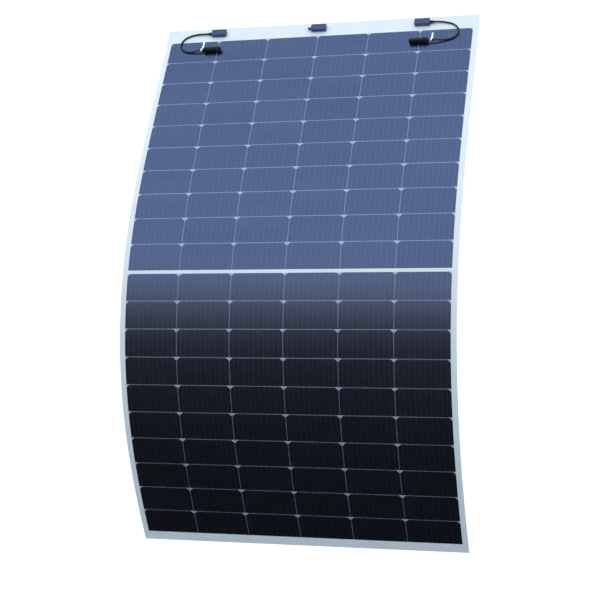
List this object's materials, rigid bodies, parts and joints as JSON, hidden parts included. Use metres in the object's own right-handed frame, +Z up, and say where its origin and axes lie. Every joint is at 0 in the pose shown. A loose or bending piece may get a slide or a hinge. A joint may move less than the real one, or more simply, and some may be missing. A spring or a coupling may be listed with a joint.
{
  "type": "flexible solar sheet",
  "caption": "Thin flexible photovoltaic laminate, bowed, with junction boxes along one short edge and two short leads that end in a plug and a socket.",
  "frame": {"origin": "middle of the bounding box's underside: the sheet rests face up on its two short ends", "axes": "+X across the sheet, +Y along it to the end with the junction boxes, +Z up, out of the face at the crown"},
  "size_m": [1.14, 1.833, 0.3296],
  "materials": {
    "back_sheet": "matte white polymer",
    "cells": "blue-black silicon under film",
    "front_film": "clear glossy film",
    "ribbon": "tinned copper",
    "adhesive": "white silicone",
    "box_plastic": "moulded dark plastic",
    "tinned_brass": "tinned brass",
    "diode": "black epoxy",
    "potting": "silicone potting",
    "gland_rubber": "soft black",
    "cable_jacket": "matte black jacket",
    "connector_plastic": "moulded black",
    "contact": "tin plated copper",
    "tag": "white film"
  },
  "bodies": {
    "strip_01": {"back_sheet_01": "back_sheet", "cells_01": "cells", "front_film_01": "front_film", "bus_ribbon_foot": "ribbon"},
    "strip_02": {"back_sheet_02": "back_sheet", "cells_02": "cells", "front_film_02": "front_film"},
    "strip_03": {"back_sheet_03": "back_sheet", "cells_03": "cells", "front_film_03": "front_film"},
    "strip_04": {"back_sheet_04": "back_sheet", "cells_04": "cells", "front_film_04": "front_film"},
    "strip_05": {"back_sheet_05": "back_sheet", "cells_05": "cells", "front_film_05": "front_film"},
    "strip_06": {"back_sheet_06": "back_sheet", "cells_06": "cells", "front_film_06": "front_film", "bus_ribbon_middle": "ribbon"},
    "strip_07": {"back_sheet_07": "back_sheet", "cells_07": "cells", "front_film_07": "front_film"},
    "strip_08": {"back_sheet_08": "back_sheet", "cells_08": "cells", "front_film_08": "front_film"},
    "strip_09": {"back_sheet_09": "back_sheet", "cells_09": "cells", "front_film_09": "front_film"},
    "strip_10": {"back_sheet_10": "back_sheet", "cells_10": "cells", "front_film_10": "front_film"},
    "strip_11": {"back_sheet_11": "back_sheet", "cells_11": "cells", "front_film_11": "front_film", "bus_ribbon_head": "ribbon", "box_left": "box_plastic", "box_centre": "box_plastic", "box_right": "box_plastic", "lid_left": "box_plastic", "lid_centre": "box_plastic", "lid_right": "box_plastic", "box_adhesive": "adhesive", "terminals": "tinned_brass", "bypass_diodes": "diode", "potting": "potting", "blank_plug": "box_plastic", "gland_left": "gland_rubber", "gland_right": "gland_rubber", "cable_left": "cable_jacket", "cable_right": "cable_jacket", "plug_shell": "connector_plastic", "plug_nut": "connector_plastic", "plug_contact": "contact", "socket_shell": "connector_plastic", "socket_nut": "connector_plastic", "socket_pin": "contact", "cable_tags": "tag"},
    "latch_front": {"latch_arm_front": "connector_plastic"},
    "latch_back": {"latch_arm_back": "connector_plastic"}
  },
  "joints": [
    {"name": "bend_01", "type": "hinge", "parent": "strip_02", "child": "strip_01", "pos_m": [0, -0.81382, 0.0772], "axis": [1, 0, 0], "range_deg": [-3.96, 1.19]},
    {"name": "bend_02", "type": "hinge", "parent": "strip_03", "child": "strip_02", "pos_m": [0, -0.65678, 0.17858], "axis": [1, 0, 0], "range_deg": [-7.18, 2.16]},
    {"name": "bend_03", "type": "hinge", "parent": "strip_04", "child": "strip_03", "pos_m": [0, -0.48839, 0.2595], "axis": [1, 0, 0], "range_deg": [-9.61, 2.88]},
    {"name": "bend_04", "type": "hinge", "parent": "strip_05", "child": "strip_04", "pos_m": [0, -0.30895, 0.31119], "axis": [1, 0, 0], "range_deg": [-10.79, 3.24]},
    {"name": "bend_05", "type": "hinge", "parent": "strip_06", "child": "strip_05", "pos_m": [0, -0.12304, 0.32839], "axis": [1, 0, 0], "range_deg": [-10.58, 3.17]},
    {"name": "bend_06", "type": "hinge", "parent": "strip_06", "child": "strip_07", "pos_m": [0, 0.07237, 0.31028], "axis": [-1, 0, 0], "range_deg": [-8.61, 2.59]},
    {"name": "bend_07", "type": "hinge", "parent": "strip_07", "child": "strip_08", "pos_m": [0, 0.25378, 0.26538], "axis": [-1, 0, 0], "range_deg": [-5.52, 1.66]},
    {"name": "bend_08", "type": "hinge", "parent": "strip_08", "child": "strip_09", "pos_m": [0, 0.4301, 0.20321], "axis": [-1, 0, 0], "range_deg": [-2.71, 0.82]},
    {"name": "bend_09", "type": "hinge", "parent": "strip_09", "child": "strip_10", "pos_m": [0, 0.60333, 0.13278], "axis": [-1, 0, 0], "range_deg": [-1, 0.3]},
    {"name": "bend_10", "type": "hinge", "parent": "strip_10", "child": "strip_11", "pos_m": [0, 0.77568, 0.06022], "axis": [-1, 0, 0], "range_deg": [-1, 0.3]},
    {"name": "latch_front_squeeze", "type": "hinge", "parent": "strip_11", "child": "latch_front", "pos_m": [-0.375, 0.81656, 0.05489], "axis": [0, 0.388, 0.9217], "range_deg": [0, 3], "stiffness_Nm_per_rad": 0.05},
    {"name": "latch_back_squeeze", "type": "hinge", "parent": "strip_11", "child": "latch_back", "pos_m": [-0.375, 0.83223, 0.0483], "axis": [0, -0.388, -0.9217], "range_deg": [0, 3], "stiffness_Nm_per_rad": 0.05}
  ],
  "couplings": [
    {"joint": "bend_01", "follows": "bend_05", "ratio": 0.37354},
    {"joint": "bend_02", "follows": "bend_05", "ratio": 0.67805},
    {"joint": "bend_03", "follows": "bend_05", "ratio": 0.9073},
    {"joint": "bend_04", "follows": "bend_05", "ratio": 1.019},
    {"joint": "bend_06", "follows": "bend_05", "ratio": 0.81361},
    {"joint": "bend_07", "follows": "bend_05", "ratio": 0.52158},
    {"joint": "bend_08", "follows": "bend_05", "ratio": 0.25537},
    {"joint": "bend_09", "follows": "bend_05", "ratio": 0.094509},
    {"joint": "bend_10", "follows": "bend_05", "ratio": 0.094509}
  ]
}
